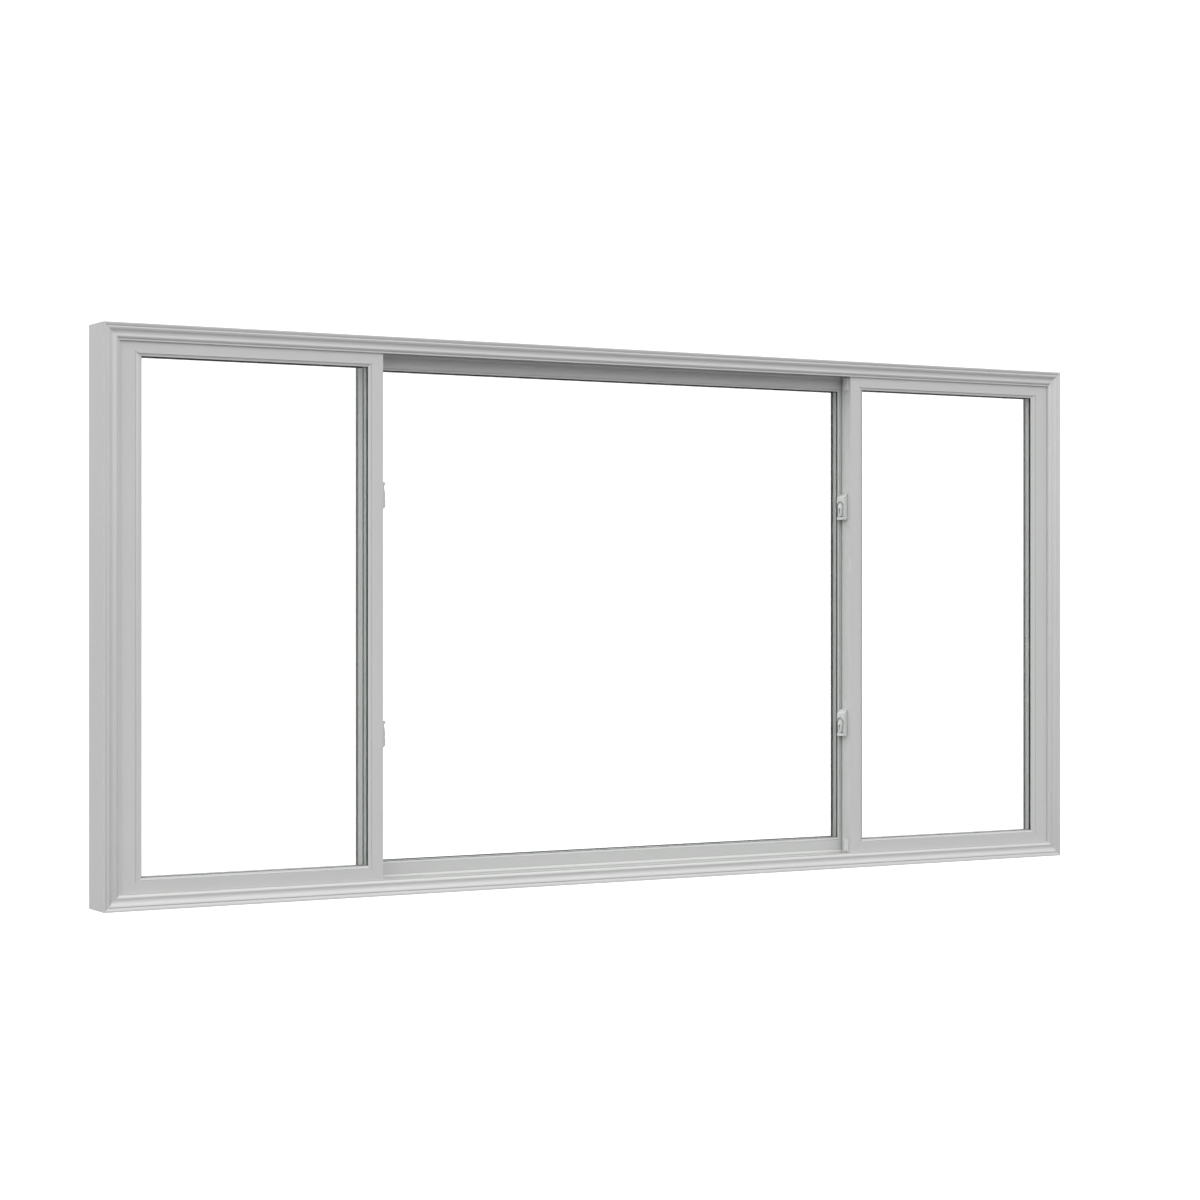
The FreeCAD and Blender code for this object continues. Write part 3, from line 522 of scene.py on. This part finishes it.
def addGaskets(prefix, body, look):
    inner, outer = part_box(prefix + "glass_inner"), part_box(prefix + "glass_outer")
    bite, clear, top = look["bite"] * mm, gasket["clear"] * mm, gasket["topShowForShade"] * mm
    lip, (shoulderOut, shoulderHeight) = gasket["lip"], gasket["shoulder"]
    low = (inner[0].x + bite, inner[0].z + bite)
    high = (inner[1].x - bite, inner[1].z - bite)
    sides = (
        ("room", inner[0].y, -1, look["roomHeight"] * mm, gasket["show"] * mm),
        ("outdoor", outer[1].y, 1, look["outdoorHeight"] * mm, look["outdoorShow"] * mm),
    )
    for side, face, way, height, show in sides:
        # The top run's wider black band is a dark stand-in for shade; the sides show the real
        # gasket.
        outs, topOuts = (
            [-clear, -clear, -reach * lip, -reach * shoulderOut, -reach] for reach in (show, top))
        foot, crest = face + way * clear, face + way * height
        depths = [foot, crest, crest, face + way * height * shoulderHeight, foot]
        sweepRound(
            prefix + side + "_gasket", low, high, list(zip(outs, depths)), body,
            finishes["rubber"], topOuts)


addGaskets("left_sash_", "left_sash", gasket["sash"])
addGaskets("right_sash_", "right_sash", gasket["sash"])
addGaskets("fixed_", "frame", gasket["fixed"])
print("gaskets made")


# Section of a flat strip with rounded shoulders, as (across, up) from one foot.
def stripSection(look):
    width, thick = look["width"] * mm, look["thick"] * mm
    shoulder, edge = width * look["shoulder"], thick * look["edge"]
    return [
        (0, 0), (width, 0), (width, edge),
        (width - shoulder, thick), (shoulder, thick), (0, edge),
    ]


# Pile strip on the back of the frame's lip, which the sashes brush against.
weatherstrip = {
    "width": 4.0,
    "thick": 0.8,
    "edge": 0.5,  # its height at the edges, as a share of thick
    "shoulder": 0.2,  # where it is full height, as a share of width
    "inset": 0.15,  # from the lip's free edge
    "lipHeight": 33.0,
    "lipBack": 7.5,  # depth of the lip's back behind the frame's room face
}


def addWeatherstrip():
    sill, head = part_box("frame_sill"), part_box("frame_head")
    lip, inset, back = (weatherstrip[k] * mm for k in ("lipHeight", "inset", "lipBack"))
    low = (sill[0].x + lip, sill[0].z + lip)
    high = (sill[1].x - lip, head[1].z - lip)
    near = sill[0].y + back
    section = [(inset + across, near + up) for across, up in stripSection(weatherstrip)]
    sweepRound("frame_weatherstrip", low, high, section, "frame", finishes["pile"])


# Black seal down the outer edge of each fixed stile, near its outdoor side.
edgeSeal = {
    "width": 7.8,
    "thick": 2.6,
    "edge": 0.6,
    "shoulder": 0.15,
    "fromBack": 0.5,
    "endGap": 12.0,  # short of the stile's ends
}


def addEdgeSeal(name, stile, way):
    low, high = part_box(stile)
    fromBack, endGap = edgeSeal["fromBack"] * mm, edgeSeal["endGap"] * mm
    face = high.x if way > 0 else low.x
    far = high.y - fromBack
    section = [(face + way * up, far - across) for across, up in stripSection(edgeSeal)]
    mesh = bmesh.new()
    foot, head = (
        [mesh.verts.new((x, y, z)) for x, y in section] for z in (low.z + endGap, high.z - endGap))
    addWalls(mesh, foot, head)
    mesh.faces.new(foot)
    mesh.faces.new(head)
    finishPiece(name, mesh, finishes["rubber"], "frame")


addWeatherstrip()
addEdgeSeal("fixed_left_edge_seal", "fixed_stile_left", -1)
addEdgeSeal("fixed_right_edge_seal", "fixed_stile_right", 1)
print("seals made")


# Pale floor under a bright, even sky, as on a product page. Places in metres, power in watts.
studio = {
    "floor": "7C7C7C",
    "floorRoughness": 0.9,
    "floorReach": 30,
    "floorGlow": 1.0,  # only where the lens looks at it: pale to the eye, little light thrown up
    "horizon": 0.4,
    "zenith": 1.52,
    "climb": 0.5,  # sine of the height where the light stops growing
    "keySide": (-0.42, -0.45, 0.0),  # the sky is brighter towards the left and the lens by this
    "skySeen": 1.3,
    "sideLamp": {
        "power": 5, "size": (1.6, 1.6), "place": (-2.7, 0.0, 2.6), "target": (-1.143, 0, 0.8)},
    "backLamp": {
        "power": 34, "size": (1.8, 1.2), "place": (0.8, 3.2, 2.5), "target": (0.5, 0, 0.8)},
}


# 1 for what the lens sees, straight or through a pane, and 0 for light that bounces about.
def seenByLens(tree):
    path = addNode(tree, "ShaderNodeLightPath")
    return addNode(tree, "ShaderNodeMath", {
        0: (path, "Is Camera Ray"), 1: (path, "Is Transmission Ray")}, operation="MAXIMUM")


def makeFloor():
    material, tree = startMaterial("pale_floor")
    glow = addNode(tree, "ShaderNodeMath", {
        0: (seenByLens(tree), 0), 1: studio["floorGlow"]}, operation="MULTIPLY")
    shader = addNode(tree, "ShaderNodeBsdfPrincipled", {
        "Base Color": hexColour(studio["floor"]), "Roughness": studio["floorRoughness"],
        "Emission Color": hexColour("FFFFFF"), "Emission Strength": (glow, 0)})
    endMaterial(tree, shader)
    mesh = bmesh.new()
    reach = studio["floorReach"]
    mesh.faces.new([
        mesh.verts.new((x * reach, y * reach, 0)) for x, y in ((-1, -1), (1, -1), (1, 1), (-1, 1))])
    data = bpy.data.meshes.new("floor")
    mesh.to_mesh(data)
    mesh.free()
    data.materials.append(material)
    floor = bpy.data.objects.new("floor", data)
    bpy.context.scene.collection.objects.link(floor)


# The sky's light grows with the height and to one side; the lens itself sees an even white.
def makeSky():
    world = bpy.data.worlds.new("studio")
    bpy.context.scene.world = world
    world.use_nodes = True
    tree = world.node_tree
    tree.nodes.clear()
    way = addNode(tree, "ShaderNodeTexCoord")
    split = addNode(tree, "ShaderNodeSeparateXYZ", {0: (way, "Generated")})
    height = addNode(tree, "ShaderNodeMapRange", {
        "Value": (split, "Z"), "From Max": studio["climb"],
        "To Min": studio["horizon"], "To Max": studio["zenith"]})
    side = addNode(tree, "ShaderNodeVectorMath", {
        0: (way, "Generated"), 1: studio["keySide"]}, operation="DOT_PRODUCT")
    light = addNode(tree, "ShaderNodeMath", {
        0: (side, "Value"), 1: (height, 0), 2: (height, 0)}, operation="MULTIPLY_ADD")
    strength = addNode(tree, "ShaderNodeMix", {
        "Factor": (seenByLens(tree), 0), 2: (light, 0), 3: studio["skySeen"]}, data_type="FLOAT")
    sky = addNode(tree, "ShaderNodeBackground", {
        "Color": hexColour("FFFFFF"), "Strength": (strength, 0)})
    addNode(tree, "ShaderNodeOutputWorld", {"Surface": (sky, 0)})


def makeLamp(name):
    look = studio[name]
    lamp = bpy.data.lights.new(name, "AREA")
    lamp.shape = "RECTANGLE"
    lamp.size, lamp.size_y = look["size"]
    lamp.energy = look["power"]
    holder = bpy.data.objects.new(name, lamp)
    holder.location = look["place"]
    way = Vector(look["target"]) - holder.location
    holder.rotation_euler = way.to_track_quat("-Z", "Y").to_euler()
    bpy.context.scene.collection.objects.link(holder)


bpy.context.scene.view_settings.view_transform = "Standard"  # white stays white, as in a catalogue
makeFloor()
makeSky()
makeLamp("sideLamp")
makeLamp("backLamp")
print("studio made")


# The photograph's viewpoint: level, thirty degrees from the left, with the lens worked out from
# its perspective.
viewpoint = {
    "place": (-2.8662, -4.8782, 0.5844),
    "turn": 30,
    "lens": 81.19,
    "sensor": 36,
    "clip": (0.1, 100),
}


def makeCamera():
    lens = bpy.data.cameras.new("photo_view")
    lens.lens, lens.sensor_width = viewpoint["lens"], viewpoint["sensor"]
    lens.clip_start, lens.clip_end = viewpoint["clip"]
    camera = bpy.data.objects.new("photo_view", lens)
    camera.location = viewpoint["place"]
    camera.rotation_euler = (math.radians(90), 0, -math.radians(viewpoint["turn"]))
    bpy.context.scene.collection.objects.link(camera)
    bpy.context.scene.camera = camera


makeCamera()

print("done")
